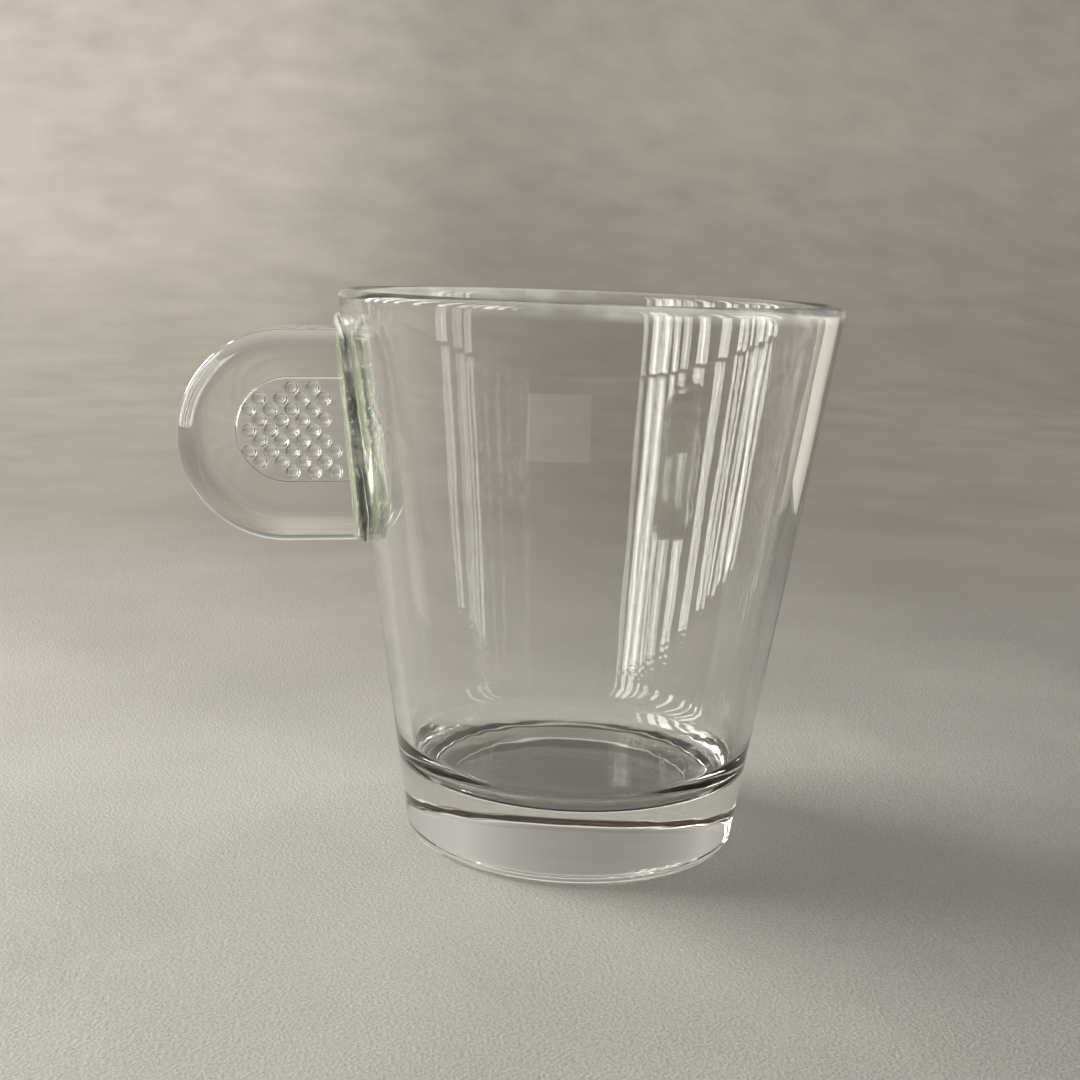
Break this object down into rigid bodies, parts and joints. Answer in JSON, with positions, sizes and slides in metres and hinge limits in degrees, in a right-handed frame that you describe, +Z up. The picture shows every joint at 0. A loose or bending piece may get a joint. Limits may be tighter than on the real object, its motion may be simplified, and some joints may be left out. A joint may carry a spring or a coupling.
{
  "type": "glass espresso cup",
  "caption": "Clear glass espresso cup: tapered wall on a thick solid base, rounded lip, and a bonded D-shaped pinch-tab handle with a panel of grip bumps on one face.",
  "frame": {"origin": "centre of the flat underside that the cup stands on, on the cup's axis", "axes": "+Z up along the cup's axis; the handle points along -X; the frosted square faces +Y"},
  "size_m": [0.0782, 0.06, 0.0663],
  "materials": {
    "cup_glass": "clear, fire polished",
    "handle_glass": "clear, pressed",
    "bond": "clear bond with small bubbles",
    "frosted_print": "matte frosted enamel"
  },
  "bodies": {
    "root": {"cup_body": "cup_glass", "handle": "handle_glass", "handle_bond": "bond", "print_patch": "frosted_print"}
  },
  "joints": []
}
